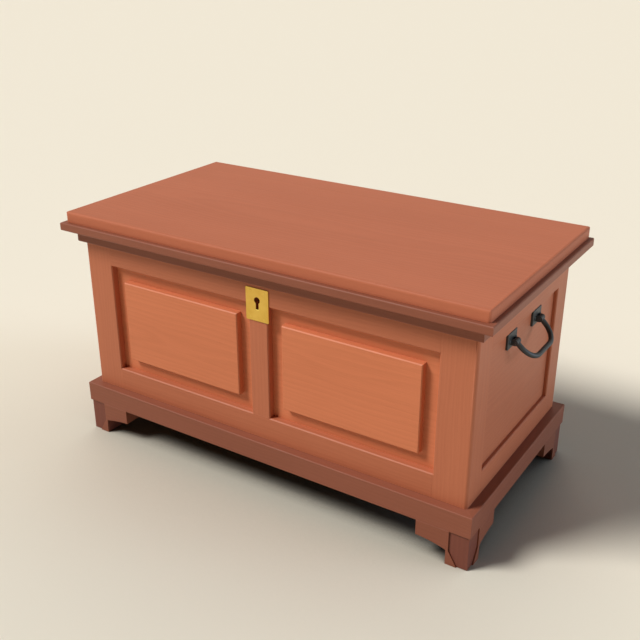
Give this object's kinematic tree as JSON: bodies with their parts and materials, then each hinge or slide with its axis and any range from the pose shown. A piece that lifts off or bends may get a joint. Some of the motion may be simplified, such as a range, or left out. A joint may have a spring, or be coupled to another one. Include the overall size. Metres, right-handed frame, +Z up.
{
  "type": "blanket chest",
  "caption": "Joined wooden blanket chest with fielded front panels, bracket feet, hinged lid, front lock and swinging end bails.",
  "frame": {"origin": "on the floor under the middle of the chest's width and of its overall depth", "axes": "+X along the chest's length to the right as seen from the front, +Y from the front to the back, +Z up"},
  "size_m": [1.0166, 0.523, 0.536],
  "materials": {
    "case_wood": "orange-brown stained wood, satin varnish",
    "panel_wood": "lighter orange-brown stained wood, satin varnish",
    "lid_wood": "orange-brown stained wood, satin varnish",
    "dark_wood": "dark reddish-brown stained wood, satin varnish",
    "foot_wood": "darkest reddish-brown stained wood, satin varnish",
    "inner_wood": "pale unfinished wood",
    "brass": "satin brass",
    "black_iron": "blackened, satin",
    "steel": "plain, slightly dulled"
  },
  "bodies": {
    "case": {"post_front_left": "case_wood", "post_front_right": "case_wood", "post_back_left": "case_wood", "post_back_right": "case_wood", "front_top_rail": "case_wood", "front_bottom_rail": "case_wood", "front_muntin": "case_wood", "back_top_rail": "case_wood", "back_bottom_rail": "case_wood", "back_muntin": "case_wood", "left_top_rail": "case_wood", "left_bottom_rail": "case_wood", "right_top_rail": "case_wood", "right_bottom_rail": "case_wood", "front_panel_left": "panel_wood", "front_panel_right": "panel_wood", "back_panel_left": "panel_wood", "back_panel_right": "panel_wood", "left_panel": "panel_wood", "right_panel": "panel_wood", "band_front": "dark_wood", "band_left": "dark_wood", "band_right": "dark_wood", "plinth_front": "dark_wood", "plinth_back": "dark_wood", "plinth_left": "dark_wood", "plinth_right": "dark_wood", "brackets_front_left": "dark_wood", "brackets_front_right": "dark_wood", "brackets_back_left": "dark_wood", "brackets_back_right": "dark_wood", "foot_block_front_left": "foot_wood", "foot_block_front_right": "foot_wood", "foot_block_back_left": "foot_wood", "foot_block_back_right": "foot_wood", "bottom_boards": "inner_wood", "bottom_cleats": "inner_wood", "glue_blocks": "inner_wood", "hinge_case_leaves": "steel", "hinge_pins": "steel", "lock_case": "steel", "escutcheon": "brass", "escutcheon_pins": "brass", "handle_plates": "black_iron", "handle_pins": "black_iron", "handle_bolts": "black_iron", "handle_nuts": "black_iron", "case_screws": "steel"},
    "lid": {"lid_top": "lid_wood", "lid_moulding_front": "dark_wood", "lid_moulding_left": "dark_wood", "lid_moulding_right": "dark_wood", "lid_battens": "inner_wood", "hinge_lid_leaves": "steel", "lock_staples": "steel", "lid_screws": "steel"},
    "lock_bolt": {"lock_bolt": "steel"},
    "bail_left": {"bail_left": "black_iron"},
    "bail_right": {"bail_right": "black_iron"}
  },
  "joints": [
    {"name": "lid_hinge", "type": "hinge", "parent": "case", "child": "lid", "pos_m": [0, 0.238, 0.5072], "axis": [-1, 0, 0], "range_deg": [0, 100]},
    {"name": "lock_bolt_slide", "type": "slide", "parent": "case", "child": "lock_bolt", "axis": [1, 0, 0], "range_m": [0, 0.008]},
    {"name": "bail_left_swing", "type": "hinge", "parent": "case", "child": "bail_left", "pos_m": [-0.4692, 0.0035, 0.398], "axis": [0, 1, 0], "range_deg": [-47, 125]},
    {"name": "bail_right_swing", "type": "hinge", "parent": "case", "child": "bail_right", "pos_m": [0.4692, 0.0035, 0.398], "axis": [0, -1, 0], "range_deg": [-47, 125]}
  ]
}
